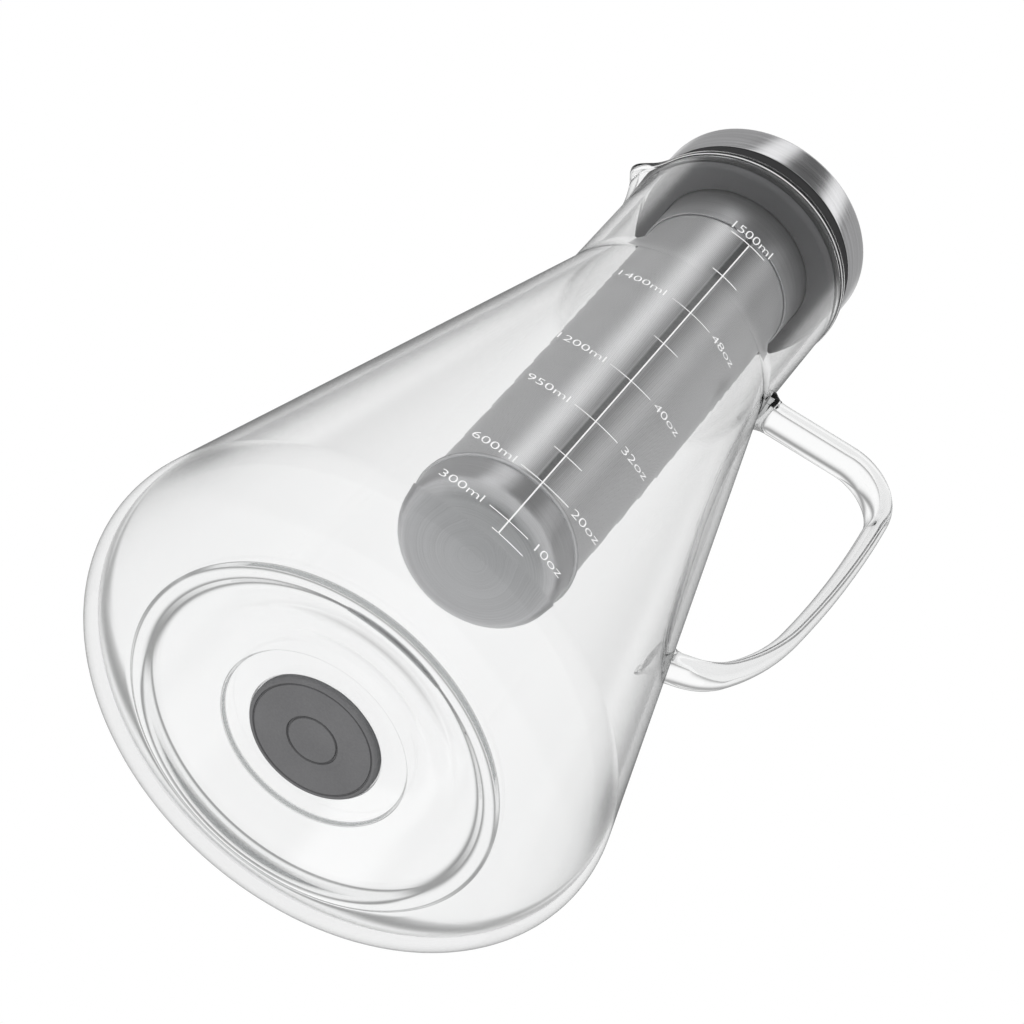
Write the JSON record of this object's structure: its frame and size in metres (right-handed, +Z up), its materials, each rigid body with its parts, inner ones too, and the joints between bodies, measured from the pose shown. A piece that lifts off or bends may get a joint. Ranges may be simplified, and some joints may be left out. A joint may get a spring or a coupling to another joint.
{
  "type": "cold brew coffee maker",
  "caption": "Conical glass cold brew jug with a strap handle, pinched spout, steel-capped stopper and a screw-in mesh filter that lifts out with it.",
  "frame": {"origin": "on the carafe's axis, in the plane that its foot ring stands on", "axes": "+Z up along the carafe's axis, +X towards the handle, -X towards the spout"},
  "size_m": [0.1492, 0.1398, 0.253],
  "materials": {
    "clear_glass": "clear fire-polished borosilicate glass",
    "pad_silicone": "matte grey silicone",
    "cap_steel": "brushed around the band",
    "core_plastic": "moulded, fine grain",
    "gasket_silicone": "matte dark silicone",
    "stopper_silicone": "matte dark grey silicone",
    "filter_steel": "satin drawn steel",
    "mesh_steel": "fine woven wire mesh"
  },
  "bodies": {
    "carafe": {"glass_body": "clear_glass", "glass_handle": "clear_glass", "base_pad": "pad_silicone"},
    "lid": {"lid_cap": "cap_steel", "lid_core": "core_plastic", "rim_gasket": "gasket_silicone", "stopper": "stopper_silicone", "stopper_seal": "gasket_silicone"},
    "screw_ring": {"collar_seal": "stopper_silicone"},
    "filter": {"filter_collar": "filter_steel", "filter_mesh": "mesh_steel", "filter_seam": "filter_steel", "filter_cup": "filter_steel"}
  },
  "joints": [
    {"name": "lid_lift", "type": "slide", "parent": "carafe", "child": "lid", "axis": [0, 0, 1], "range_m": [0, 0.18]},
    {"name": "filter_drop", "type": "slide", "parent": "lid", "child": "screw_ring", "axis": [0, 0, -1], "range_m": [0, 0.012]},
    {"name": "filter_turn", "type": "hinge", "parent": "screw_ring", "child": "filter", "pos_m": [0, 0, 0.23], "axis": [0, 0, -1], "range_deg": [0, 1080]}
  ],
  "couplings": [
    {"joint": "filter_drop", "follows": "filter_turn", "m_per_rad": 0.0006366}
  ]
}
